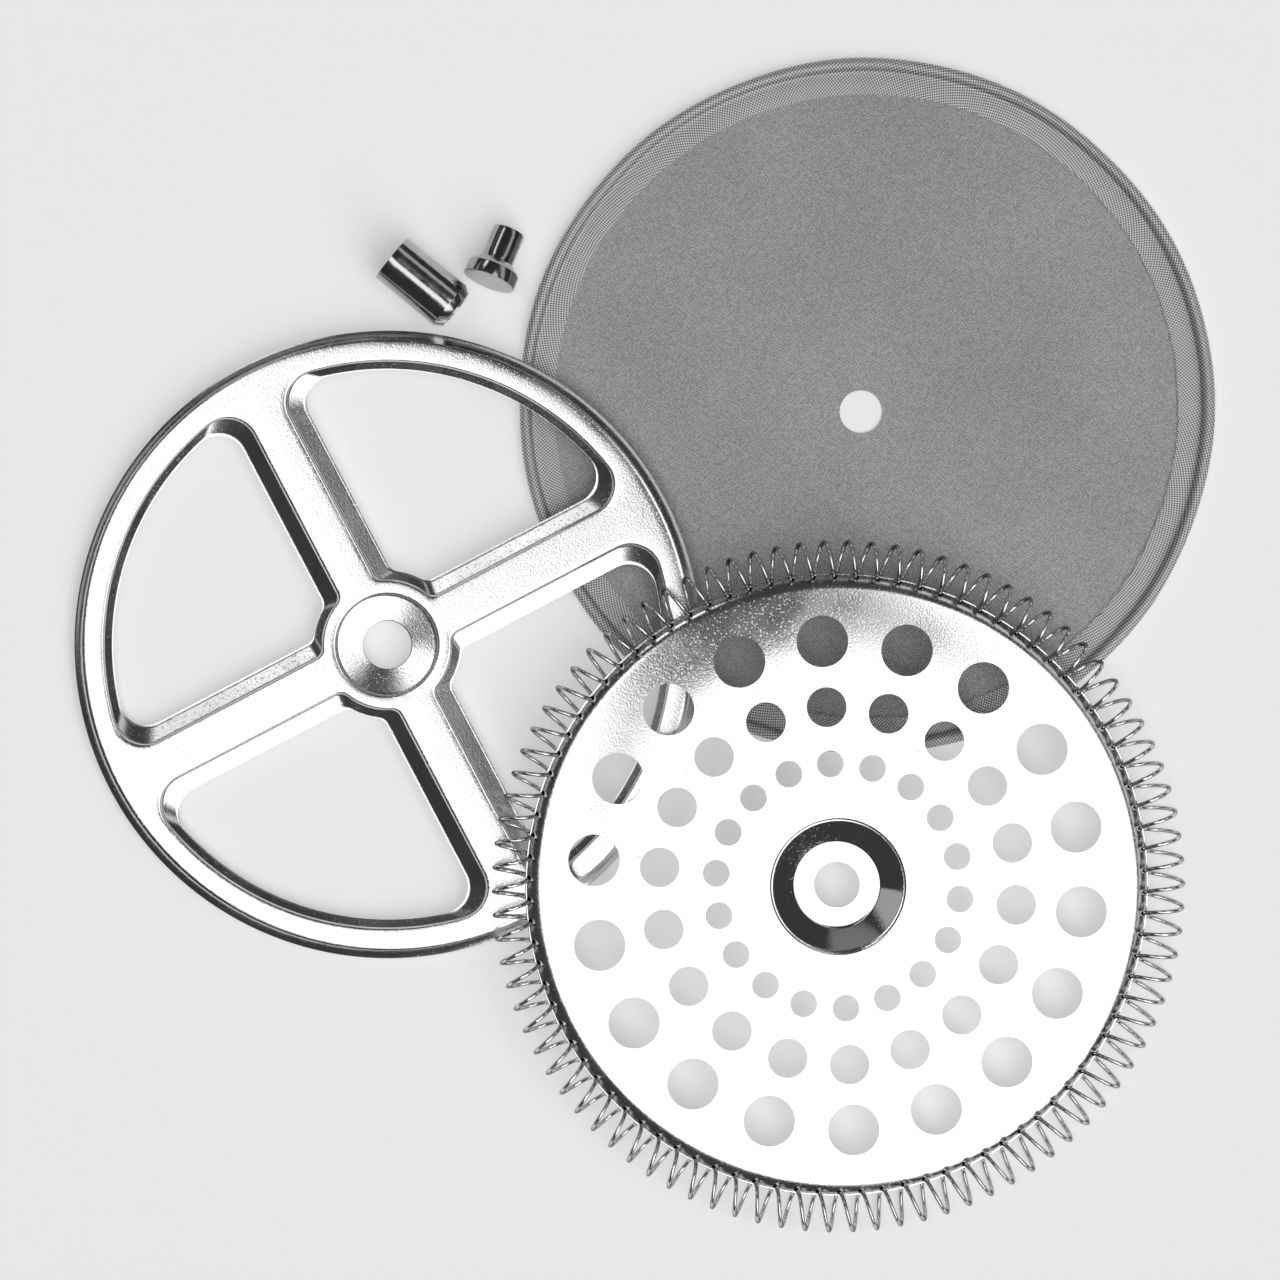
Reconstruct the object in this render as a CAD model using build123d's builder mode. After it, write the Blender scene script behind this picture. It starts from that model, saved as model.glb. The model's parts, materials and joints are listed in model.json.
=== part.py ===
"""Filter set of a plunger coffee pot, laid out loose for cleaning.

A woven wire screen lies flat on the table. The four-spoke cross plate leans on the screen's edge,
and the perforated spiral plate, with the coil spring threaded round its rim, leans on both.
The clamping sleeve and the flanged nut that hold the stack on the plunger rod lie beside them.
Millimetres, +Z up, the table at Z = 0, the origin under the middle of the whole layout.
"""
import os
from math import cos, radians, sin, sqrt

from build123d import *

os.makedirs("parts", exist_ok=True)

# ---- Driving dimensions ----
sheet = 0.5

# Woven wire screen, folded over at its edge
screen_centre = (32.3, 34.75)
screen_radius = 50.8
screen_cloth = 0.3
screen_hem_inner_radius = 45.5
screen_hem = 0.6
screen_lip_bend = 2.0
screen_lip_top = 2.2
screen_hole_radius = 3.1
screen_hole_offset = (-0.8, -0.8)

# Cross plate
cross_centre = (-37.4, 0.0)
cross_height = 1.42
cross_tilt = 1.75
cross_heading = 26.5
cross_radius = 45.7
cross_crest = 3.2
cross_rim_crest_radius = 44.7
cross_hole_radius = 3.5
cross_funnel_drop = 1.1
cross_groove_radius = 7.1
cross_groove_drop = 0.5
cross_hub_crest_radius = 7.5
spoke_angle = 27.6
spokes = 4
flange_drop = 1.5
# Each window's outline: rim radius, hub radius, half the spoke's width, outer and inner corner radius
window_crest = (41.3, 9.3, 2.82, 4.6, 1.4)
window_edge = (40.0, 10.75, 5.46, 4.0, 0.9)

# Spiral plate
spiral_centre = (28.0, -35.0)
spiral_height = 3.2
spiral_tilt = 3.85
spiral_heading = 129.0
spiral_lip_radius = 45.35
spiral_step_foot_radius = 44.1
spiral_step_head_radius = 43.6
spiral_step = 1.1
spiral_recess = 3.0
spiral_recess_radius = 9.6
spiral_hub_radius = 6.4
spiral_hole_radius = 3.25
spiral_row_angle = 13.76
spiral_row_count = 18
spiral_rows = ((17.78, 2.0), (26.02, 2.95), (35.56, 3.8))
wire_hole_radius = 0.42

# Coil spring, a closed ring of coils through the lip of the spiral plate
coils = 90
coil_ring_radius = 47.4
coil_radius = 2.7
wire_radius = 0.26
coil_angle = -3.5

# Clamping sleeve
sleeve_middle = (-32.15, 52.4)
sleeve_heading = -39.2
sleeve_radius = 3.75
sleeve_length = 12.1
sleeve_nose = (1.2, 0.75)
sleeve_edge = 0.2
sleeve_thread_radius = 2.1
sleeve_socket_radius = 2.5
sleeve_socket_depth = 4.0

# Flanged nut
nut_face_centre = (-22.7, 52.8)
nut_heading = 68.2
nut_head_radius = 3.9
nut_head_rim = 1.9
nut_head_chamfer = 1.1
nut_barrel_radius = 2.4
nut_length = 8.1
nut_barrel_edge = 0.15
nut_thread_radius = 1.25
nut_thread_depth = 6.0


# ---- Planes that the pieces lie in ----
def lying(centre, height, tilt, heading):
    """The plane under a disc that is raised by tilt degrees on the side it leans up towards."""
    lean = sin(radians(tilt))
    up = (-lean * cos(radians(heading)), -lean * sin(radians(heading)), cos(radians(tilt)))
    return Plane(origin=(*centre, height), x_dir=(1, 0, 0), z_dir=up)


def standing(bed):
    """The plane that stands on a bed through its axis, for half profiles that are revolved."""
    return Plane(origin=bed.origin, x_dir=bed.x_dir, z_dir=-bed.y_dir)


def axis_of(bed):
    """The disc's own axis, square to its bed."""
    return Axis(bed.origin, bed.z_dir)


def turned(bed, angle):
    """The same plane, with its X direction turned within it."""
    return Plane(origin=bed.origin, x_dir=bed.x_dir.rotate(axis_of(bed), angle), z_dir=bed.z_dir)


screen_bed = Plane(origin=(*screen_centre, 0))
cross_bed = lying(cross_centre, cross_height, cross_tilt, cross_heading)
spiral_bed = lying(spiral_centre, spiral_height, spiral_tilt, spiral_heading)

# ---- Woven wire screen ----
lip_middle = screen_radius - screen_lip_bend
lip_inner_bend = screen_lip_bend - screen_hem
with BuildPart() as mesh_screen:
    with BuildSketch(standing(screen_bed)):
        with BuildLine():
            Line((0, 0), (lip_middle, 0))
            CenterArc((lip_middle, screen_lip_bend), screen_lip_bend, -90, 90)
            Polyline(
                (screen_radius, screen_lip_bend),
                (screen_radius, screen_lip_top),
                (screen_radius - screen_hem, screen_lip_top),
                (screen_radius - screen_hem, screen_lip_bend),
            )
            CenterArc((lip_middle, screen_lip_bend), lip_inner_bend, -90, 90)
            Polyline(
                (lip_middle, screen_hem),
                (screen_hem_inner_radius, screen_hem),
                (screen_hem_inner_radius, screen_cloth),
                (0, screen_cloth),
                (0, 0),
            )
        make_face()
    revolve(axis=axis_of(screen_bed))
    with Locations(screen_bed.location):
        with Locations(screen_hole_offset):
            Hole(screen_hole_radius)


# ---- Cross plate: the outside of the stamping, less the hollow under it ----
def window(bed, height, quarter, outline):
    """One window's outline between two spokes, at a height over the plate's bed."""
    rim, hub, half_width, outer_corner, inner_corner = outline
    level = turned(bed.offset(height), spoke_angle + quarter * 360 / spokes)
    rim_reach = sqrt(rim**2 - half_width**2)
    hub_reach = sqrt(hub**2 - half_width**2)
    middle = sqrt(0.5)
    with BuildSketch(level) as opening:
        with BuildLine():
            Line((hub_reach, half_width), (rim_reach, half_width))
            ThreePointArc(
                (rim_reach, half_width), (rim * middle, rim * middle), (half_width, rim_reach)
            )
            Line((half_width, rim_reach), (half_width, hub_reach))
            ThreePointArc(
                (half_width, hub_reach), (hub * middle, hub * middle), (hub_reach, half_width)
            )
        make_face()
        fillet(opening.vertices().sort_by_distance((0, 0))[2:], outer_corner)
        fillet(opening.vertices().sort_by_distance((0, 0))[:2], inner_corner)
    return opening


def under_flange(run):
    """How far the underside of a flange lies behind its top, at one height, for its run outwards."""
    return sheet * sqrt(run**2 + flange_drop**2) / flange_drop


rim_run = window_crest[0] - window_edge[0]
hub_run = window_edge[1] - window_crest[1]
spoke_run = window_edge[2] - window_crest[2]
under_share = (flange_drop - sheet) / flange_drop
window_under_edge = (
    window_edge[0] + under_flange(rim_run),
    window_edge[1] - under_flange(hub_run),
    window_edge[2] - under_flange(spoke_run),
    window_edge[3],
    window_edge[4],
)
window_under_crest = (
    window_under_edge[0] + rim_run * under_share,
    window_under_edge[1] - hub_run * under_share,
    window_under_edge[2] - spoke_run * under_share,
    window_crest[3],
    window_crest[4],
)
edge_height = cross_crest - flange_drop
under_crest = cross_crest - sheet
shoulder = cross_radius - cross_rim_crest_radius

with BuildPart() as cross_hollow:
    with BuildSketch(standing(cross_bed)):
        with BuildLine():
            Polyline(
                (0, -sheet),
                (cross_radius - sheet, -sheet),
                (cross_radius - sheet, cross_crest - shoulder),
                (cross_rim_crest_radius - sheet / 4, under_crest),
                (cross_hub_crest_radius + sheet / 2, under_crest),
                (cross_groove_radius + sheet / 2, under_crest - cross_groove_drop),
                (cross_hole_radius, under_crest - cross_funnel_drop),
                (0, under_crest - cross_funnel_drop),
                close=True,
            )
        make_face()
    revolve(axis=axis_of(cross_bed))
    for quarter in range(spokes):
        low = window(cross_bed, edge_height, quarter, window_under_edge)
        high = window(cross_bed, under_crest, quarter, window_under_crest)
        loft([low.sketch, high.sketch], mode=Mode.SUBTRACT)

with BuildPart() as cross_plate:
    with BuildSketch(standing(cross_bed)):
        with BuildLine():
            Polyline(
                (cross_hole_radius, cross_crest - cross_funnel_drop),
                (cross_hole_radius, 0),
                (cross_radius, 0),
                (cross_radius, cross_crest - shoulder),
            )
            RadiusArc(
                (cross_radius, cross_crest - shoulder),
                (cross_rim_crest_radius, cross_crest),
                -shoulder,
            )
            Polyline(
                (cross_rim_crest_radius, cross_crest),
                (cross_hub_crest_radius, cross_crest),
                (cross_groove_radius, cross_crest - cross_groove_drop),
                (cross_hole_radius, cross_crest - cross_funnel_drop),
            )
        make_face()
    revolve(axis=axis_of(cross_bed))
    for quarter in range(spokes):
        low = window(cross_bed, edge_height, quarter, window_edge)
        high = window(cross_bed, cross_crest, quarter, window_crest)
        loft([low.sketch, high.sketch], mode=Mode.SUBTRACT)
    add(cross_hollow.part, mode=Mode.SUBTRACT)

# ---- Spiral plate ----
coil_half_span = coil_ring_radius * sin(radians(90 / coils))
coil_arc_radius = sqrt(coil_radius**2 + coil_half_span**2)
coil_level = coil_arc_radius + wire_radius
lip_top = coil_level + sheet / 2
plate_top = lip_top + spiral_step
with BuildPart() as spiral_plate:
    with BuildSketch(standing(spiral_bed)):
        with BuildLine():
            Polyline(
                (spiral_hole_radius, plate_top - spiral_recess),
                (spiral_hub_radius, plate_top - spiral_recess),
                (spiral_recess_radius, plate_top),
                (spiral_step_head_radius, plate_top),
                (spiral_step_foot_radius, lip_top),
                (spiral_lip_radius, lip_top),
            )
            offset(amount=sheet, side=Side.RIGHT, kind=Kind.INTERSECTION)
        make_face()
    revolve(axis=axis_of(spiral_bed))
    with Locations(turned(spiral_bed.offset(plate_top), spiral_row_angle).location):
        for row_radius, hole_radius in spiral_rows:
            with PolarLocations(row_radius, spiral_row_count):
                Hole(hole_radius, depth=2 * spiral_recess)
    with Locations(turned(spiral_bed.offset(lip_top), coil_angle + 180 / coils).location):
        with PolarLocations(coil_ring_radius - coil_radius, coils):
            Hole(wire_hole_radius, depth=2 * sheet)

# ---- Coil spring ----
coil_bed = spiral_bed.offset(coil_level)


def tip(radius, angle):
    """A point of the coil line in its middle plane, at the outside or the inside of the ring."""
    return coil_bed.from_local_coords((radius * cos(radians(angle)), radius * sin(radians(angle)), 0))


def half_coil(angle, side):
    """Half a coil, from its outer tip over the top (-1) or under the bottom (+1) to an inner tip."""
    outer = tip(coil_ring_radius + coil_radius, angle)
    inner = tip(coil_ring_radius - coil_radius, angle + side * 180 / coils)
    turn_axis = Axis((outer + inner) / 2, (inner - outer).cross(coil_bed.z_dir) * side)
    with BuildPart(mode=Mode.PRIVATE) as bend:
        with BuildSketch(Plane(origin=outer, z_dir=coil_bed.z_dir)):
            Circle(wire_radius)
        revolve(axis=turn_axis, revolution_arc=180)
    return bend.faces().filter_by(GeomType.TORUS)


wire_faces = []
for coil in range(coils):
    for side in (-1, 1):
        wire_faces += half_coil(coil_angle + coil * 360 / coils, side)
with BuildPart() as coil_spring:
    add(Solid(Shell(wire_faces)))

# ---- Clamping sleeve ----
sleeve_way = (cos(radians(sleeve_heading)), sin(radians(sleeve_heading)), 0)
sleeve_end = Plane(
    origin=Vector(*sleeve_middle, sleeve_radius) - Vector(*sleeve_way) * (sleeve_length / 2),
    x_dir=(0, 0, 1),
    z_dir=sleeve_way,
)
with BuildPart() as clamping_sleeve:
    with BuildSketch(sleeve_end):
        Circle(sleeve_radius)
    extrude(amount=sleeve_length)
    ends = clamping_sleeve.edges().sort_by(axis_of(sleeve_end))
    chamfer(ends[0], sleeve_edge)
    nose = clamping_sleeve.faces().sort_by(axis_of(sleeve_end))[-1]
    chamfer(nose.edges(), sleeve_nose[1], sleeve_nose[0], reference=nose)
    with Locations(sleeve_end.offset(sleeve_length).location):
        CounterBoreHole(sleeve_thread_radius, sleeve_socket_radius, sleeve_socket_depth)

# ---- Flanged nut, resting on the edge of its head and the end of its barrel ----
nut_rest_run = nut_length - nut_head_rim
nut_rest_rise = nut_head_radius - nut_barrel_radius
nut_rest_slant = sqrt(nut_rest_run**2 + nut_rest_rise**2)
dip_sin = nut_rest_rise / nut_rest_slant
dip_cos = nut_rest_run / nut_rest_slant
nut_height = nut_head_rim * dip_sin + nut_head_radius * dip_cos
nut_way = (dip_cos * cos(radians(nut_heading)), dip_cos * sin(radians(nut_heading)), -dip_sin)
nut_face = Plane(origin=(*nut_face_centre, nut_height), z_dir=nut_way)
with BuildPart() as flanged_nut:
    with BuildSketch(standing(nut_face)):
        with BuildLine():
            Polyline(
                (0, 0),
                (nut_head_radius, 0),
                (nut_head_radius, nut_head_rim),
                (nut_head_radius - nut_head_chamfer, nut_head_rim + nut_head_chamfer),
                (nut_barrel_radius, nut_head_rim + nut_head_chamfer),
                (nut_barrel_radius, nut_length - nut_barrel_edge),
                (nut_barrel_radius - nut_barrel_edge, nut_length),
                (nut_thread_radius, nut_length),
                (nut_thread_radius, nut_length - nut_thread_depth),
                (0, nut_length - nut_thread_depth),
                close=True,
            )
        make_face()
    revolve(axis=axis_of(nut_face))

# ---- Labels and files ----
pieces = {
    "mesh_screen": mesh_screen,
    "cross_plate": cross_plate,
    "spiral_plate": spiral_plate,
    "coil_spring": coil_spring,
    "clamping_sleeve": clamping_sleeve,
    "flanged_nut": flanged_nut,
}
for name, piece in pieces.items():
    piece.part.label = name
    export_step(piece.part, f"parts/{name}.step")
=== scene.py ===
"""Filter set of a plunger coffee pot, laid out loose: the finished pieces around the CAD frame.

Every piece is shaped in millimetres about its own axis, then set down in the bed that the frame
gives for it. The order is the table and the light, the screen, the cross plate, the spiral plate,
its spring, the sleeve and the nut.
"""

import json
import random
from math import atan, atan2, cos, degrees, hypot, pi, radians, sin, sqrt

import bpy
from mathutils import Matrix, Vector


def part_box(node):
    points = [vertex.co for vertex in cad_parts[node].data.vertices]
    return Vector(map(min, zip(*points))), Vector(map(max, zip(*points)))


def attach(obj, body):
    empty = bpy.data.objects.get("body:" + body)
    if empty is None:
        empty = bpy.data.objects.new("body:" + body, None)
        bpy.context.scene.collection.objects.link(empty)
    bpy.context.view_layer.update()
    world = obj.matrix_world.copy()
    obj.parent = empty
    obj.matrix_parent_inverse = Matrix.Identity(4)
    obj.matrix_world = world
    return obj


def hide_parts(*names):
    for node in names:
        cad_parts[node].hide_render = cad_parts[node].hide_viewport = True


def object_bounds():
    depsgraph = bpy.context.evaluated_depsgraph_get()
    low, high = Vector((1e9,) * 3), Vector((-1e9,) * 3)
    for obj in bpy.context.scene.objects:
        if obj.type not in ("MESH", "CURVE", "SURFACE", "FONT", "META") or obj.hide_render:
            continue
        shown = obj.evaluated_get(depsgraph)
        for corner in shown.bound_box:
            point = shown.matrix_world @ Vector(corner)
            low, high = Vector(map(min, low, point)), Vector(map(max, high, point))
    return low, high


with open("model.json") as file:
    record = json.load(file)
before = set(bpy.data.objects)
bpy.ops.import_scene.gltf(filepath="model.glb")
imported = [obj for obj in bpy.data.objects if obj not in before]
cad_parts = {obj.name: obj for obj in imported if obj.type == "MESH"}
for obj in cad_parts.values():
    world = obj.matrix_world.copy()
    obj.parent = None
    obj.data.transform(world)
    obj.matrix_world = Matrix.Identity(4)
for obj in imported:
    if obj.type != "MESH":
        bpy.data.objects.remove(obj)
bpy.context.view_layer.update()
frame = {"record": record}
mounts = {mount["name"]: mount for mount in frame["record"]["mounts"]}
mm = 0.001

# ---- Camera, table and light ----
# The set lies on a faintly glowing white light table in a dark studio, under a strip light and
# three softboxes, with a lit wall and two dim windows further off. The camera looks straight down.
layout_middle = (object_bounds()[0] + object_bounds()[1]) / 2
camera_lens = 200
camera_sensor = 36
view_width = 186 * mm
focus_height = 4 * mm
aim_shift = Vector((-0.7 * mm, 0.6 * mm, 0))
camera_distance = view_width * camera_lens / camera_sensor

camera_data = bpy.data.cameras.new("camera")
camera_data.lens = camera_lens
camera_data.sensor_width = camera_sensor
camera = bpy.data.objects.new("camera", camera_data)
camera.location = layout_middle + aim_shift
camera.location.z = focus_height + camera_distance
bpy.context.scene.collection.objects.link(camera)
bpy.context.scene.camera = camera
bpy.context.scene.view_settings.view_transform = "Standard"


def add_node(tree, kind, settings=None, inputs=None):
    """A shader node with its settings, and its inputs' values or links."""
    node = tree.nodes.new(kind)
    for name, value in (settings or {}).items():
        setattr(node, name, value)
    for name, value in (inputs or {}).items():
        if isinstance(value, bpy.types.NodeSocket):
            tree.links.new(value, node.inputs[name])
        else:
            node.inputs[name].default_value = value
    return node


def calculate(tree, operation, first, second=0.5, third=0.5):
    """The result of one Math node."""
    inputs = {0: first, 1: second, 2: third}
    return add_node(tree, "ShaderNodeMath", {"operation": operation}, inputs).outputs[0]


def fade(tree, value, start, end, at_start=0.0, at_end=1.0):
    """A smooth step from one number to another as a value goes from start to end."""
    if start > end:
        start, end, at_start, at_end = end, start, at_end, at_start
    inputs = {"Value": value, "From Min": start, "From Max": end}
    inputs |= {"To Min": at_start, "To Max": at_end}
    settings = {"interpolation_type": "SMOOTHSTEP"}
    return add_node(tree, "ShaderNodeMapRange", settings, inputs).outputs["Result"]


world = bpy.data.worlds.new("studio")
bpy.context.scene.world = world
world.use_nodes = True
studio = world.node_tree
studio.nodes.clear()
sight = add_node(studio, "ShaderNodeTexCoord").outputs["Generated"]


def slopes(heading):
    """Where a sight line points, as slopes along a heading and to its left, and how far it rises."""
    inputs = {"Vector": sight, "Rotation": (0, 0, -radians(heading))}
    turned = add_node(studio, "ShaderNodeMapping", {}, inputs).outputs["Vector"]
    parts = add_node(studio, "ShaderNodeSeparateXYZ", {}, {"Vector": turned}).outputs
    rise = calculate(studio, "MAXIMUM", parts["Z"], 0.001)
    return (
        calculate(studio, "DIVIDE", parts["X"], rise),
        calculate(studio, "DIVIDE", parts["Y"], rise),
        parts["Z"],
    )


def panel(along, across, ends, sides, blurs):
    """A soft-edged rectangle overhead, in slopes: its two ends and two sides, each with its blur."""
    shape = fade(studio, along, ends[0] - blurs[0], ends[0] + blurs[0])
    for value, edge, blur in (
        (along, ends[1], -blurs[1]),
        (across, sides[0], blurs[2]),
        (across, sides[1], -blurs[3]),
    ):
        shape = calculate(studio, "MULTIPLY", shape, fade(studio, value, edge - blur, edge + blur))
    return shape


def glowing(glow, shape, strength):
    """The studio's glow with one more lit shape in it."""
    return calculate(studio, "MULTIPLY_ADD", shape, strength, glow)


# Each light is (ends, sides, blurs): where it starts and stops along a heading, where its right and
# left sides are, and how soft those four edges are, all as slopes of the line of sight to it.
lamp_heading, lamp_glow = 122, 1.75
gloom, below, backdrop = 0.045, 0.8, 0.85
strip_light = ((-2.4, 0.5), (0.038, 0.375), (0.3, 0.06, 0.02, 0.03))
near_softbox = ((-2.4, -0.1), (-0.6, 0.42), (0.3, 0.02, 0.08, 0.05))
side_softbox = ((-0.3, 0.08), (-0.5, -0.19), (0.02, 0.02, 0.08, 0.02))
far_softbox = ((1.0, 1.4), (-0.24, 0.16), (0.08, 0.12, 0.05, 0.05))
along, across, rise = slopes(lamp_heading)
lamp = panel(along, across, *strip_light)
for softbox in (near_softbox, side_softbox, far_softbox):
    lamp = calculate(studio, "MAXIMUM", lamp, panel(along, across, *softbox))
glow = glowing(gloom, lamp, lamp_glow)
lit_wall, wall_glow = ((-1.6, 1.3), (-1.55, -0.95), (0.4, 0.3, 0.15, 0.12)), 0.65
glow = glowing(glow, panel(along, across, *lit_wall), wall_glow)
west_window = ((1.95, 3.8), (-1.75, 0.4), (0.12, 0.3, 0.1, 0.08))
north_window = ((2.05, 4.0), (-1.4, 0.9), (0.1, 0.6, 0.3, 0.1))
for heading, window, window_glow in ((172, west_window, 0.37), (108, north_window, 0.16)):
    window_along, window_across, _ = slopes(heading)
    glow = glowing(glow, panel(window_along, window_across, *window), window_glow)
above = fade(studio, rise, -0.01, 0.01)
glow = calculate(studio, "MULTIPLY_ADD", above, calculate(studio, "SUBTRACT", glow, below), below)
straight = add_node(studio, "ShaderNodeLightPath").outputs["Is Camera Ray"]
step_up = calculate(studio, "SUBTRACT", backdrop, glow)
shown = calculate(studio, "MULTIPLY_ADD", straight, step_up, glow)
sky = add_node(studio, "ShaderNodeBackground", {}, {"Color": (1, 1, 1, 1), "Strength": shown})
add_node(studio, "ShaderNodeOutputWorld", {}, {"Surface": sky.outputs[0]})

bpy.ops.object.select_all(action="DESELECT")
table_size = 3.0
table_gap = 0.02 * mm
bpy.ops.mesh.primitive_plane_add(size=table_size, location=(0, 0, -table_gap))
table = bpy.context.object
table.name = "table"
table_material = bpy.data.materials.new("white_table")
table_material.use_nodes = True
table_shader = table_material.node_tree.nodes["Principled BSDF"]
table_shader.inputs["Base Color"].default_value = (0.95, 0.95, 0.95, 1)
table_shader.inputs["Roughness"].default_value = 0.9
table_shader.inputs["Specular IOR Level"].default_value = 0.1
table_shader.inputs["Emission Color"].default_value = (1, 1, 1, 1)
table_shader.inputs["Emission Strength"].default_value = 0.27
table.data.materials.append(table_material)


# ---- Woven wire screen ----
# A disc of stainless wire cloth. Its edge is folded in over itself as a double hem, cut ragged on
# the inside, and rolled up into a low bead. The centre hole sits a little off the middle.
def stack_rings(name, profile, count, closed=True):
    """A turned surface: one circle, extruded along the (radius, height) points of its profile."""
    bpy.ops.object.select_all(action="DESELECT")
    radius, height = profile[0]
    bpy.ops.mesh.primitive_circle_add(vertices=count, radius=radius, location=(0, 0, 0))
    piece = bpy.context.object
    piece.name = piece.data.name = name
    bpy.ops.object.mode_set(mode="EDIT")
    bpy.ops.mesh.select_all(action="SELECT")
    bpy.ops.transform.translate(value=(0, 0, height))
    for next_radius, next_height in profile[1:] + (profile[:1] if closed else []):
        growth = next_radius / radius
        bpy.ops.mesh.extrude_edges_move()
        bpy.ops.transform.resize(value=(growth, growth, 1), center_override=(0, 0, 0))
        bpy.ops.transform.translate(value=(0, 0, next_height - height))
        radius, height = next_radius, next_height
    bpy.ops.object.mode_set(mode="OBJECT")
    return piece


def arc(centre, radius, start, end, steps):
    """Points of a bend in a half profile, by its centre, radius and angles in degrees."""
    turns = [radians(start + (end - start) * step / steps) for step in range(steps + 1)]
    return [(centre[0] + radius * cos(turn), centre[1] + radius * sin(turn)) for turn in turns]


def close_up(piece, threshold=0.0005):
    """Merges doubled points and turns every face outwards."""
    bpy.ops.object.select_all(action="DESELECT")
    piece.select_set(True)
    bpy.context.view_layer.objects.active = piece
    bpy.ops.object.mode_set(mode="EDIT")
    bpy.ops.mesh.select_all(action="SELECT")
    bpy.ops.mesh.remove_doubles(threshold=threshold)
    bpy.ops.mesh.normals_make_consistent(inside=False)
    bpy.ops.object.mode_set(mode="OBJECT")


def bed_of(mount_name, drop):
    """A piece's bed: square to the mount's axis, and drop millimetres under the mount."""
    mount = mounts[mount_name]
    rise = Vector(mount["axis"]).normalized()
    side = (Vector((1, 0, 0)) - rise * rise.x).normalized()
    turn = Matrix((side, rise.cross(side), rise)).transposed().to_4x4()
    return Matrix.Translation(Vector(mount["pos_m"]) - rise * drop * mm) @ turn


def lay_down(piece, bed, body, node, material, smooth_angle=35):
    """Sets a finished piece in its bed at its real size and ties it to its CAD body."""
    piece.data.materials.append(material)
    piece.matrix_world = bed @ Matrix.Scale(mm, 4)
    bpy.ops.object.select_all(action="DESELECT")
    piece.select_set(True)
    bpy.context.view_layer.objects.active = piece
    bpy.ops.object.transform_apply(location=True, rotation=True, scale=True)
    bpy.ops.object.shade_smooth_by_angle(angle=radians(smooth_angle))
    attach(piece, body)
    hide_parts(node)


screen_low, screen_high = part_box("mesh_screen")
screen_middle = (screen_low + screen_high) / 2
screen_radius = (screen_high.x - screen_low.x) / 2 / mm
hole_radius = mounts["screen_bore"]["dims"]["r_mm"]
hole_shift = (Vector(mounts["screen_bore"]["pos_m"]) - screen_middle) / mm
cloth, hem = 0.3, 0.6
hem_cut = 45.5
crease = 48.75
bead_top, bead_radius, bead_foot = 2.2, 0.95, 1.2
screen_points = 720
screen_profile = [(hole_radius, 0.0), (hole_radius, cloth), (hole_radius + 2.5, cloth)]
screen_profile += [(hem_cut - 6, cloth), (hem_cut - 0.35, cloth), (hem_cut, cloth), (hem_cut, hem)]
screen_profile += [(hem_cut + 0.3, hem + 0.03), (crease - 0.5, hem + 0.02), (crease - 0.12, hem - 0.06)]
screen_profile += [(crease + 0.1, hem + 0.02), (crease + 0.2, hem + 0.3)]
bead_middle = (screen_radius - bead_radius, bead_top - bead_radius)
screen_profile += arc(bead_middle, bead_radius, 160, -20, 16)
screen_profile += arc((screen_radius - 1.3, bead_foot), bead_foot, -28, -90, 6)
screen_profile += [(hole_radius + 2.5, 0.0)]
screen = stack_rings("woven_screen", screen_profile, screen_points)
rng = random.Random(7)
fray = [rng.uniform(-0.28, 0.22) for _ in range(screen_points)]
for point in screen.data.vertices:
    radius = hypot(point.co.x, point.co.y)
    angle = atan2(point.co.y, point.co.x)
    if radius < hole_radius + 1:
        point.co.x += hole_shift.x
        point.co.y += hole_shift.y
    elif abs(radius - hem_cut) < 0.1:
        ragged = 1 + fray[round(angle / (2 * pi) * screen_points) % screen_points] / radius
        point.co.x *= ragged
        point.co.y *= ragged
    elif radius > crease:
        wave = 0.09 * sin(5 * angle + 0.7) + 0.06 * sin(11 * angle + 2.1) - 0.12
        share = (radius - crease) / (screen_radius - crease)
        point.co.x *= 1 + wave * share / radius
        point.co.y *= 1 + wave * share / radius
close_up(screen)

weave = bpy.data.node_groups.new("wire_weave", "ShaderNodeTree")
weave.interface.new_socket("Vector", in_out="INPUT", socket_type="NodeSocketVector")
weave.interface.new_socket("Pitch", in_out="INPUT", socket_type="NodeSocketFloat")
weave.interface.new_socket("Height", in_out="OUTPUT", socket_type="NodeSocketFloat")
weave_in = add_node(weave, "NodeGroupInput")
half_turns = calculate(weave, "DIVIDE", pi, weave_in.outputs["Pitch"])
per_wire = add_node(
    weave, "ShaderNodeVectorMath", {"operation": "SCALE"},
    {"Vector": weave_in.outputs["Vector"], "Scale": half_turns},
)
weave_xyz = add_node(weave, "ShaderNodeSeparateXYZ", {}, {"Vector": per_wire.outputs["Vector"]})
warp = calculate(weave, "SINE", weave_xyz.outputs["X"])
weft = calculate(weave, "SINE", weave_xyz.outputs["Y"])
crossing = calculate(weave, "MULTIPLY", warp, weft)
warp_high = calculate(weave, "ADD", calculate(weave, "ABSOLUTE", warp), crossing)
weft_high = calculate(weave, "SUBTRACT", calculate(weave, "ABSOLUTE", weft), crossing)
weave_height = calculate(weave, "MULTIPLY", calculate(weave, "MAXIMUM", warp_high, weft_high), 0.5)
add_node(weave, "NodeGroupOutput", {}, {"Height": weave_height})


def new_material(name):
    """A node material, with its tree and its Principled shader."""
    material = bpy.data.materials.new(name)
    material.use_nodes = True
    return material, material.node_tree, material.node_tree.nodes["Principled BSDF"]


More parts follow.
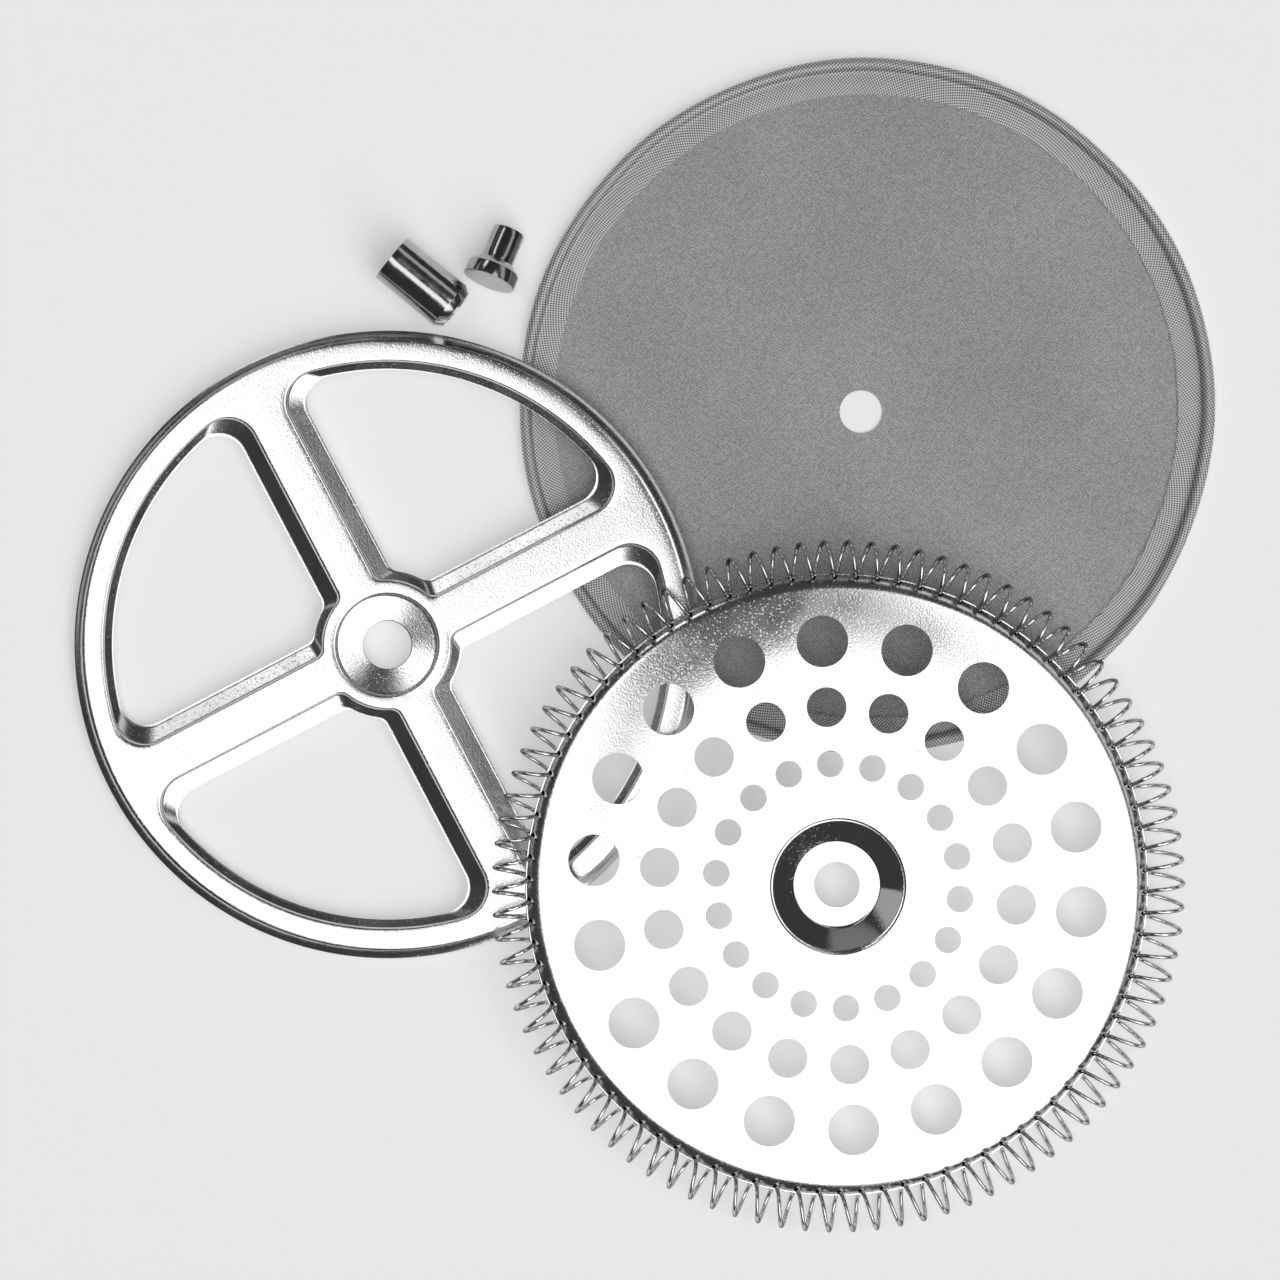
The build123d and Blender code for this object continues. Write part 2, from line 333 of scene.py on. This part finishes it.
wire_pitch = 0.39 * mm
fold_radius = 51.5 * mm
weave_heading = 30
cloth_material, tree, shader = new_material("woven_wire_cloth")
place = add_node(tree, "ShaderNodeTexCoord").outputs["Object"]
centred = add_node(
    tree, "ShaderNodeMapping", {},
    {"Vector": place, "Location": (-screen_middle.x, -screen_middle.y, 0)},
).outputs["Vector"]
flat_place = add_node(
    tree, "ShaderNodeVectorMath", {"operation": "MULTIPLY"}, {0: centred, 1: (1, 1, 0)}
).outputs["Vector"]
reach = add_node(
    tree, "ShaderNodeVectorMath", {"operation": "LENGTH"}, {0: flat_place}
).outputs["Value"]
folded_share = calculate(tree, "SUBTRACT", calculate(tree, "DIVIDE", 2 * fold_radius, reach), 1.0)
folded = add_node(
    tree, "ShaderNodeVectorMath", {"operation": "SCALE"}, {0: flat_place, "Scale": folded_share}
).outputs["Vector"]


def woven(vector):
    """The height of the weave at a place on the cloth."""
    turned = add_node(
        tree, "ShaderNodeMapping", {}, {"Vector": vector, "Rotation": (0, 0, radians(weave_heading))}
    ).outputs["Vector"]
    inputs = {"Vector": turned, "Pitch": wire_pitch}
    return add_node(tree, "ShaderNodeGroup", {"node_tree": weave}, inputs).outputs["Height"]


in_hem = fade(tree, reach, (hem_cut - 0.05) * mm, (hem_cut + 0.05) * mm)
height = add_node(
    tree, "ShaderNodeMix", {"data_type": "FLOAT"},
    {"Factor": in_hem, "A": woven(flat_place), "B": woven(folded)},
).outputs["Result"]
# Painted shade: the low places between the wires are painted near black, as the shade that falls between
# them. This is partly so in the open cloth and fully so in the hem.
gap_share = fade(tree, in_hem, 0.0, 1.0, 0.4, 1.0)
painted_gap_shade = calculate(tree, "MULTIPLY", fade(tree, height, 0.85, 0.12), gap_share)
patina = add_node(
    tree, "ShaderNodeTexNoise", {}, {"Vector": place, "Scale": 40.0, "Detail": 3.0}
).outputs["Fac"]
glint = add_node(
    tree, "ShaderNodeTexNoise", {}, {"Vector": place, "Scale": 4600.0, "Detail": 1.0}
).outputs["Fac"]
wire_colour = add_node(
    tree, "ShaderNodeMix", {"data_type": "RGBA"},
    {"Factor": fade(tree, glint, 0.3, 0.7), 6: (0.38, 0.38, 0.39, 1), 7: (0.62, 0.62, 0.63, 1)},
).outputs[2]
hem_colour = add_node(
    tree, "ShaderNodeMix", {"data_type": "RGBA"},
    {"Factor": in_hem, 6: wire_colour, 7: (0.86, 0.86, 0.87, 1)},
).outputs[2]
cloth_colour = add_node(
    tree, "ShaderNodeMix", {"data_type": "RGBA"},
    {"Factor": painted_gap_shade, 6: hem_colour, 7: (0.06, 0.06, 0.063, 1)},
).outputs[2]
shader.inputs["Metallic"].default_value = 0.55
tree.links.new(cloth_colour, shader.inputs["Base Color"])
tree.links.new(fade(tree, patina, 0.3, 0.7, 0.48, 0.58), shader.inputs["Roughness"])
cloth_bump = add_node(
    tree, "ShaderNodeBump", {}, {"Strength": 0.5, "Distance": 0.08 * mm, "Height": height}
)
tree.links.new(cloth_bump.outputs["Normal"], shader.inputs["Normal"])
screen_bed = Matrix.Translation((screen_middle.x, screen_middle.y, 0))
lay_down(screen, screen_bed, "screen", "mesh_screen", cloth_material)


# ---- Cross plate ----
# A four-spoke disc stamped from half-millimetre stainless sheet. Its spokes, rim and hub stand
# proud, and a stepped flange runs down into each of the four windows.
sheet = 0.5
cross_hub_height = 1.85
cross_bed = bed_of("cross_bore", cross_hub_height)
crest = 3.2
cross_radius = 45.7
spoke_angle = 27.6
# A window's radius at the rim and at the hub, half its spokes' width, and the radius of its outer
# and inner corners: first where it leaves the flat, then at its cut edge.
window_crest = (41.3, 9.3, 2.82, 4.6, 1.7)
window_edge = (40.0, 10.75, 5.46, 4.0, 2.0)


def half_outline(rim, hub, half_width, outer_corner, inner_corner):
    """Half a window's outline, from its middle at the hub along a spoke to its middle at the rim."""
    outer_across = half_width + outer_corner
    inner_across = half_width + inner_corner
    outer_along = sqrt((rim - outer_corner) ** 2 - outer_across**2)
    inner_along = sqrt((hub + inner_corner) ** 2 - inner_across**2)
    outer_turn = atan2(outer_across, outer_along) / pi * 180
    inner_turn = atan2(inner_across, inner_along) / pi * 180
    points = arc((0, 0), hub, 45, inner_turn, 10)
    points += arc((inner_along, inner_across), inner_corner, 180 + inner_turn, 270, 8)[1:]
    points += arc((outer_along, outer_across), outer_corner, -90, outer_turn, 16)
    points += arc((0, 0), rim, outer_turn, 45, 24)[1:]
    return points


def outline(share):
    """A window's outline on its way from the crest, at share 0, to the cut edge, at share 1."""
    sizes = [a + (b - a) * share for a, b in zip(window_crest, window_edge)]
    half = half_outline(*sizes)
    return half + [(y, x) for x, y in reversed(half[1:-1])]


# Each step down a window's flange: its share of the way to the cut edge, and its drop.
flange_steps = ((-0.34, 0.0), (-0.16, -0.012), (-0.05, -0.035), (0.0, -0.08), (0.03, -0.17))
flange_steps += ((0.06, -0.3), (0.1, -0.43), (0.14, -0.5), (0.19, -0.55), (0.22, -0.584))
flange_steps += ((0.8, -1.265), (0.84, -1.31), (0.88, -1.345), (0.92, -1.365), (1.0, -1.38))
windows = []
for quarter in range(4):
    bpy.ops.object.select_all(action="DESELECT")
    bpy.ops.mesh.primitive_circle_add(vertices=len(outline(0)), radius=1, location=(0, 0, 0))
    window = bpy.context.object
    bpy.ops.object.mode_set(mode="EDIT")
    bpy.ops.mesh.select_all(action="SELECT")
    for _ in flange_steps[1:]:
        bpy.ops.mesh.extrude_edges_move()
    bpy.ops.object.mode_set(mode="OBJECT")
    turn = Matrix.Rotation(radians(spoke_angle + 90 * quarter), 4, "Z")
    loop = len(outline(0))
    for step, (share, drop) in enumerate(flange_steps):
        for index, (x, y) in enumerate(outline(share)):
            window.data.vertices[step * loop + index].co = turn @ Vector((x, y, crest + drop))
    windows.append(window)

rim_profile = [(42.9, crest), (43.4, crest - 0.006), (43.9, crest - 0.03), (44.2, crest - 0.07)]
rim_profile += [(44.32, crest - 0.12), (44.39, crest - 0.18), (44.44, crest - 0.23), (45.6, crest - 1.274)]
rim_profile += arc((cross_radius - 0.3, crest - 1.497), 0.3, 48, 0, 5)
rim_profile += [(cross_radius, 1.2), (cross_radius, 0.25), (cross_radius - 0.05, 0.0)]
rim = stack_rings("cross_rim", rim_profile, 360, closed=False)
hub_profile = [(8.3, crest), (7.8, crest - 0.005), (7.6, crest - 0.03), (7.5, crest - 0.07)]
hub_profile += [(7.4, crest - 0.24), (7.3, crest - 0.42), (7.2, crest - 0.5), (7.08, crest - 0.53)]
hub_profile += [(6.9, crest - 0.562), (5.5, crest - 0.791), (3.9, crest - 1.053), (3.7, crest - 1.085)]
hub_profile += [(3.6, crest - 1.1), (3.53, crest - 1.13), (3.5, crest - 1.175)]
hub = stack_rings("cross_hub", hub_profile, 120, closed=False)

bpy.ops.object.select_all(action="DESELECT")
for part in [hub, rim] + windows:
    part.select_set(True)
bpy.context.view_layer.objects.active = rim
bpy.ops.object.join()
cross = bpy.context.object
cross.name = cross.data.name = "spoked_plate"
bpy.ops.object.mode_set(mode="EDIT")
bpy.ops.mesh.select_mode(type="EDGE")
bpy.ops.mesh.select_all(action="DESELECT")
bpy.ops.object.mode_set(mode="OBJECT")
uses = {}
for face in cross.data.polygons:
    for key in face.edge_keys:
        uses[key] = uses.get(key, 0) + 1
for edge in cross.data.edges:
    level = all(abs(cross.data.vertices[end].co.z - crest) < 0.001 for end in edge.vertices)
    edge.select = level and uses.get(edge.key, 0) == 1
bpy.ops.object.mode_set(mode="EDIT")
bpy.ops.mesh.fill(use_beauty=True)
bpy.ops.mesh.select_all(action="SELECT")
bpy.ops.mesh.normals_make_consistent(inside=False)
bpy.ops.object.mode_set(mode="OBJECT")
if sum(face.normal.z for face in cross.data.polygons) < 0:
    bpy.ops.object.mode_set(mode="EDIT")
    bpy.ops.mesh.flip_normals()
    bpy.ops.object.mode_set(mode="OBJECT")
wall = cross.modifiers.new("sheet", "SOLIDIFY")
wall.thickness = sheet
wall.offset = -1
wall.use_even_offset = True
bpy.ops.object.modifier_apply(modifier=wall.name)

grain = bpy.data.node_groups.new("pressed_grain", "ShaderNodeTree")
grain.interface.new_socket("Vector", in_out="INPUT", socket_type="NodeSocketVector")
grain.interface.new_socket("Grains", in_out="INPUT", socket_type="NodeSocketFloat")
grain.interface.new_socket("Ripples", in_out="INPUT", socket_type="NodeSocketFloat")
grain.interface.new_socket("Height", in_out="OUTPUT", socket_type="NodeSocketFloat")
grain.interface.new_socket("Haze", in_out="OUTPUT", socket_type="NodeSocketFloat")
grain_in = add_node(grain, "NodeGroupInput").outputs
fine = add_node(
    grain, "ShaderNodeTexNoise", {},
    {"Vector": grain_in["Vector"], "Scale": grain_in["Grains"], "Detail": 1.5, "Roughness": 0.6},
).outputs["Fac"]
pits = add_node(
    grain, "ShaderNodeTexNoise", {"noise_dimensions": "4D"},
    {"Vector": grain_in["Vector"], "W": 5.0, "Scale": grain_in["Grains"], "Detail": 0.0},
).outputs["Fac"]
pitted = calculate(grain, "MULTIPLY_ADD", fade(grain, pits, 0.66, 0.76), 0.6, fine)
wide = add_node(
    grain, "ShaderNodeTexNoise", {},
    {"Vector": grain_in["Vector"], "Scale": grain_in["Ripples"], "Detail": 2.0},
).outputs["Fac"]
haze = fade(grain, wide, 0.3, 0.7)
add_node(grain, "NodeGroupOutput", {}, {"Height": pitted, "Haze": haze})


def bright_metal(name, colour, dulled, roughness, grains, ripples, relief):
    """Bright metal: its colour and that of its haze, its roughness, and its grain in millimetres."""
    material, tree, shader = new_material(name)
    place = add_node(tree, "ShaderNodeTexCoord").outputs["Object"]
    inputs = {"Vector": place, "Grains": grains, "Ripples": ripples}
    skin = add_node(tree, "ShaderNodeGroup", {"node_tree": grain}, inputs).outputs
    shade = add_node(
        tree, "ShaderNodeMix", {"data_type": "RGBA"},
        {"Factor": skin["Haze"], 6: (*[dulled] * 3, 1), 7: (*[colour] * 3, 1)},
    ).outputs[2]
    tree.links.new(shade, shader.inputs["Base Color"])
    shader.inputs["Metallic"].default_value = 1.0
    tree.links.new(fade(tree, skin["Haze"], 0.0, 1.0, *roughness), shader.inputs["Roughness"])
    inputs = {"Strength": 1.0, "Distance": relief * mm, "Height": skin["Height"]}
    bump = add_node(tree, "ShaderNodeBump", {}, inputs)
    tree.links.new(bump.outputs["Normal"], shader.inputs["Normal"])
    return material


sheet_grains, sheet_ripples = 3200.0, 140.0
stamped = bright_metal("stamped_stainless", 0.78, 0.733, (0.15, 0.2), sheet_grains, sheet_ripples, 0.012)
lay_down(cross, cross_bed, "cross", "cross_plate", stamped, 50)

# ---- Spiral plate ----
# A perforated stainless disc with three rings of round holes, a pressed recess round the rod hole,
# and a rolled edge with ninety small holes, which the spring's wire is threaded through.
recess_height = 1.184
spiral_bed = bed_of("spiral_bore", recess_height)
plate_shift = Vector((-0.25, 0.28, 0))
plate_bed = Matrix.Translation(plate_shift * mm) @ spiral_bed
coils = 90
coil_turn = 360 / coils
coil_ring, coil_radius, wire_radius = 47.4, 2.7, 0.26
coil_start = -3.5
stitch_ring = coil_ring - coil_radius
coil_half_span = coil_ring * sin(radians(coil_turn / 4))
coil_level = sqrt(coil_radius**2 + coil_half_span**2) + wire_radius
lip_level = coil_level + sheet / 2
plate_rise, recess_depth = 1.53, 2.6
plate_level = lip_level + plate_rise
recess_floor = plate_level - recess_depth
rod_hole = 3.25
dome_start, dome_end, dome_drop = 33.0, 42.97, 0.55
roll_radius = 3.4
# Each row of flow holes: how far out it lies, and the radius of its holes.
hole_rows = ((17.78, 1.95), (26.02, 2.88), (35.56, 3.74))
row_angle = 13.76
row_count = 18


def dome(radius):
    """The height of the plate's flat, which rolls off towards its rim."""
    share = max(0, (radius - dome_start) / (dome_end - dome_start))
    return plate_level - dome_drop * share**2


dome_lean = atan(2 * dome_drop / (dome_end - dome_start))
roll_middle = (
    dome_end - roll_radius * sin(dome_lean),
    plate_level - dome_drop - roll_radius * cos(dome_lean),
)
upper = [(rod_hole, recess_floor - 0.08), (rod_hole + 0.07, recess_floor), (rod_hole + 0.2, recess_floor)]
upper += [(6.0, recess_floor), (6.2, recess_floor), (6.31, recess_floor + 0.03)]
upper += [(6.41, recess_floor + 0.1), (6.5, recess_floor + 0.17), (9.36, plate_level - 0.28)]
upper += [(9.43, plate_level - 0.22), (9.49, plate_level - 0.19), (9.65, plate_level - 0.18)]
upper += [(9.7, plate_level - 0.16), (9.84, plate_level - 0.03), (9.92, plate_level)]
upper += [(radius, dome(radius)) for radius in (10.1, 10.4, 13, 16, 21, 24, 28, 31, 33, 34, 35, 36, 37)]
upper += [(radius, dome(radius)) for radius in (38, 39, 40, 41, 42, 42.6)]
upper += arc(roll_middle, roll_radius, 90 - degrees(dome_lean), 46, 16)
upper += [(45.0, lip_level + 0.015), (45.05, lip_level), (45.17, lip_level)]
upper += [(45.23, lip_level - 0.02), (45.27, lip_level - 0.1)]
lower = [(45.27, lip_level - sheet), (44.95, lip_level - sheet), (44.72, lip_level - sheet + 0.06)]
lower += arc(roll_middle, roll_radius - sheet, 46, 84, 6)
lower += [(radius, dome(radius) - sheet) for radius in (42.6, 42, 40, 38, 36, 34, 31, 24, 13, 10.2)]
lower += [(9.9, plate_level - sheet - 0.02), (9.2, plate_level - sheet - 0.25)]
lower += [(6.35, recess_floor - sheet + 0.2), (6.15, recess_floor - sheet + 0.03)]
lower += [(5.9, recess_floor - sheet), (rod_hole, recess_floor - sheet)]
spiral = stack_rings("perforated_plate", upper + lower, 240)
close_up(spiral)


def add_punch(radius, turn, level, size, depth, sides):
    """A round punch, standing at a radius and a turn from the middle of the plate."""
    place = (radius * cos(turn), radius * sin(turn), level)
    bpy.ops.mesh.primitive_cylinder_add(vertices=sides, radius=size, depth=depth, location=place)
    return bpy.context.object


punch_depth = 6
stitch_size, stitch_depth = 0.42, 2.6
bpy.ops.object.select_all(action="DESELECT")
punches = []
for row_radius, hole_size in hole_rows:
    for index in range(row_count):
        turn = radians(row_angle + index * 360 / row_count)
        punches.append(add_punch(row_radius, turn, plate_level, hole_size, punch_depth, 64))
for index in range(coils):
    turn = radians(coil_start + coil_turn / 2 + index * coil_turn)
    punches.append(add_punch(stitch_ring, turn, lip_level, stitch_size, stitch_depth, 20))
bpy.ops.object.select_all(action="DESELECT")
for punch in punches:
    punch.select_set(True)
bpy.context.view_layer.objects.active = punches[0]
bpy.ops.object.join()
cutter = bpy.context.object
bpy.ops.object.transform_apply(location=True, rotation=True, scale=True)
bpy.ops.object.select_all(action="DESELECT")
spiral.select_set(True)
bpy.context.view_layer.objects.active = spiral
punching = spiral.modifiers.new("punching", "BOOLEAN")
punching.operation = "DIFFERENCE"
punching.object = cutter
punching.solver = "EXACT"
bpy.ops.object.modifier_apply(modifier=punching.name)
bpy.data.objects.remove(cutter)
polished = bright_metal("polished_stainless", 0.8, 0.752, (0.14, 0.19), sheet_grains, sheet_ripples, 0.011)
tree = polished.node_tree
shader = tree.nodes["Principled BSDF"]
place = add_node(tree, "ShaderNodeTexCoord").outputs["Object"]
from_hub = add_node(
    tree, "ShaderNodeVectorMath", {"operation": "DISTANCE"},
    {0: place, 1: tuple(plate_bed @ Vector((0, 0, recess_floor * mm)))},
).outputs["Value"]
burnish = fade(tree, from_hub, 9.4 * mm, 10.0 * mm, 0.4, 1.0)
rough = calculate(tree, "MULTIPLY", shader.inputs["Roughness"].links[0].from_socket, burnish)
tree.links.new(rough, shader.inputs["Roughness"])
tree.links.new(burnish, shader.inputs["Normal"].links[0].from_node.inputs["Strength"])
lay_down(spiral, plate_bed, "spiral", "spiral_plate", polished)

# ---- Coil spring ----
# One length of bright spring wire, wound into ninety open coils and joined end to end as a ring.
# Each coil passes down through a hole in the lip of the spiral plate.
coil_steps = 36
drawn_radius = 1.08 * wire_radius
wire_line = bpy.data.curves.new("coil_wire", "CURVE")
wire_line.dimensions = "3D"
wire_line.bevel_depth = drawn_radius
wire_line.bevel_resolution = 3
wire_path = wire_line.splines.new("POLY")
wire_path.points.add(coils * coil_steps - 1)
wire_path.use_cyclic_u = True
for index, point in enumerate(wire_path.points):
    swing = 2 * pi * index / coil_steps
    turn = radians(coil_start - coil_turn * index / coil_steps)
    outward = Vector((cos(turn), sin(turn), 0))
    outer = outward * (coil_ring + coil_radius)
    inner = outward * stitch_ring + plate_shift
    rise = Vector((0, 0, coil_level + coil_radius * sin(swing)))
    spot = (outer + inner) / 2 + (outer - inner) / 2 * cos(swing) + rise
    point.co = (*spot, 1)
spring = bpy.data.objects.new("edge_spring", wire_line)
bpy.context.scene.collection.objects.link(spring)
bpy.ops.object.select_all(action="DESELECT")
spring.select_set(True)
bpy.context.view_layer.objects.active = spring
bpy.ops.object.convert(target="MESH")
spring = bpy.context.object
close_up(spring)
wire_metal = bright_metal("bright_spring_wire", 0.88, 0.827, (0.1, 0.16), 2600.0, sheet_ripples, 0.004)
tree = wire_metal.node_tree
shader = tree.nodes["Principled BSDF"]
# Painted reflection: the wire is painted near black along its edges, which face away from the camera, to
# stand for the dark studio mirrored there. This fades out towards the coils' outer tips.
facing = add_node(tree, "ShaderNodeLayerWeight", {}, {"Blend": 0.5}).outputs["Facing"]
place = add_node(tree, "ShaderNodeTexCoord").outputs["Object"]
from_hub = add_node(
    tree, "ShaderNodeVectorMath", {"operation": "DISTANCE"},
    {0: place, 1: tuple(spiral_bed @ Vector((0, 0, coil_level * mm)))},
).outputs["Value"]
tip_fade = fade(tree, from_hub, 49.2 * mm, 49.9 * mm, 1.0, 0.35)
painted_edge_reflection = calculate(tree, "MULTIPLY", fade(tree, facing, 0.3, 0.65), tip_fade)
bright_shade = shader.inputs["Base Color"].links[0].from_socket
painted_coil_colour = add_node(
    tree, "ShaderNodeMix", {"data_type": "RGBA"},
    {"Factor": painted_edge_reflection, 6: bright_shade, 7: (0.05, 0.05, 0.052, 1)},
).outputs[2]
tree.links.new(painted_coil_colour, shader.inputs["Base Color"])
shader.inputs["Specular Tint"].default_value = (0.25, 0.25, 0.25, 1)
lay_down(spring, spiral_bed, "spiral", "coil_spring", wire_metal, 80)

# ---- Clamping sleeve ----
# A short chromed tube, turned from bar, with a chamfered nose. It is threaded inside for the rod
# and bored wider at the nose.
sleeve_mount = mounts["rod_thread"]
sleeve_radius, sleeve_length = 3.75, 12.1
socket_radius, socket_depth = 2.5, 4.0
thread_radius = sleeve_mount["dims"]["r_mm"]
nose_run, nose_drop = 1.2, 0.75
thread_pitch, thread_depth = 0.8, 0.22
nose = sleeve_length - nose_run


def turned_corner(radius, height, before, after, size, steps=3):
    """A small rounding at a corner of a turned profile, between the directions of its two sides."""
    start = (radius - before[0] * size, height - before[1] * size)
    end = (radius + after[0] * size, height + after[1] * size)
    points = []
    for step in range(steps + 1):
        t = step / steps
        bend = [(1 - t) ** 2 * a + 2 * t * (1 - t) * b + t**2 * c
                for a, b, c in zip(start, (radius, height), end)]
        points.append(tuple(bend))
    return points


slant = hypot(nose_run, nose_drop)
down_nose = (-nose_drop / slant, nose_run / slant)
bore_rings = 110
thread_start, thread_end = 0.3, sleeve_length - socket_depth
sleeve_profile = turned_corner(sleeve_radius, 0, (1, 0), (0, 1), 0.16)
sleeve_profile += [(sleeve_radius, nose * ring / 10) for ring in range(1, 10)]
sleeve_profile += turned_corner(sleeve_radius, nose, (0, 1), down_nose, 0.05)
sleeve_profile += turned_corner(sleeve_radius - nose_drop, sleeve_length, down_nose, (-1, 0), 0.04)
sleeve_profile += turned_corner(socket_radius, sleeve_length, (-1, 0), (0, -1), 0.1)
sleeve_profile += [(socket_radius, thread_end), (thread_radius + 0.1, thread_end)]
sleeve_profile += [
    (thread_radius, thread_end - (thread_end - thread_start) * ring / bore_rings)
    for ring in range(bore_rings + 1)
]
sleeve_profile += [(thread_radius + 0.2, 0.0)]
sleeve = stack_rings("rod_sleeve", sleeve_profile, 160)


def cut_thread(piece, radius, start, end):
    """Presses a helical thread into the wall of a plain bore between two heights."""
    for point in piece.data.vertices:
        reach = hypot(point.co.x, point.co.y)
        if abs(reach - radius) < 0.01 and start + 0.01 < point.co.z < end - 0.01:
            turns = point.co.z / thread_pitch - atan2(point.co.y, point.co.x) / (2 * pi)
            ridge = 2 * abs(turns % 1 - 0.5)
            growth = 1 + thread_depth * (1 - ridge) / radius
            point.co.x *= growth
            point.co.y *= growth


cut_thread(sleeve, thread_radius, thread_start, thread_end)
close_up(sleeve, 0.0002)


def axle_bed(mount, run, way):
    """A turned piece's bed, run millimetres along the mount's axis, facing along it or against it."""
    axis = Vector(mount["axis"]).normalized()
    side = Vector((0, 0, 1)).cross(axis).normalized()
    turn = Matrix((side, (axis * way).cross(side), axis * way)).transposed().to_4x4()
    return Matrix.Translation(Vector(mount["pos_m"]) + axis * run * mm) @ turn


turned_grains, turned_ripples = 2400.0, 700.0
sleeve_chrome = bright_metal(
    "bright_chrome", 0.52, 0.458, (0.12, 0.18), turned_grains, turned_ripples, 0.005
)
sleeve_bed = axle_bed(sleeve_mount, sleeve_mount["dims"]["length_mm"] / 2, -1)
lay_down(sleeve, sleeve_bed, "sleeve", "clamping_sleeve", sleeve_chrome, 30)

# ---- Flanged nut ----
# The small nut that holds the stack on the rod's tip: a turned barrel with a blind thread, and a
# flat head with a chamfer behind its rim. It rests on the rim of the head and the barrel's end.
nut_mount = mounts["rod_tip_thread"]
nut_length = 8.1
head_radius, head_rim, head_chamfer = 3.9, 1.9, 1.1
barrel_radius = 2.4
tip_thread_radius, tip_thread_depth = nut_mount["dims"]["r_mm"], nut_mount["dims"]["length_mm"]
back = sqrt(0.5)
nut_profile = [(0.02, 0.0), (1.5, 0.0), (3.0, 0.0)]
nut_profile += turned_corner(head_radius, 0, (1, 0), (0, 1), 0.08)
nut_profile += turned_corner(head_radius, head_rim, (0, 1), (-back, back), 0.05)
nut_profile += turned_corner(
    head_radius - head_chamfer, head_rim + head_chamfer, (-back, back), (-1, 0), 0.05
)
nut_profile += turned_corner(barrel_radius, head_rim + head_chamfer, (-1, 0), (0, 1), 0.08)
nut_profile += [(barrel_radius, head_rim + head_chamfer + step) for step in (1, 2, 3, 4)]
nut_profile += turned_corner(barrel_radius, nut_length, (0, 1), (-1, 0), 0.15)
nut_profile += [(tip_thread_radius + 0.2, nut_length)]
tip_rings = 90
tip_start, tip_end = nut_length - tip_thread_depth, nut_length - 0.2
nut_profile += [
    (tip_thread_radius, tip_end - (tip_end - tip_start) * ring / tip_rings)
    for ring in range(tip_rings + 1)
]
nut_profile += [(0.02, tip_start - 0.4)]
nut = stack_rings("head_nut", nut_profile, 128, closed=False)
cut_thread(nut, tip_thread_radius, tip_start, tip_end)
bpy.ops.object.mode_set(mode="EDIT")
bpy.ops.mesh.select_all(action="DESELECT")
bpy.ops.mesh.select_mode(type="VERT")
bpy.ops.mesh.select_non_manifold()
bpy.ops.mesh.edge_face_add()
bpy.ops.object.mode_set(mode="OBJECT")
close_up(nut, 0.0002)
nut_chrome = bright_metal("turned_chrome", 0.42, 0.37, (0.1, 0.15), turned_grains, turned_ripples, 0.004)
nut_bed = axle_bed(nut_mount, tip_thread_depth / 2 - nut_length, 1)
lay_down(nut, nut_bed, "nut", "flanged_nut", nut_chrome, 30)
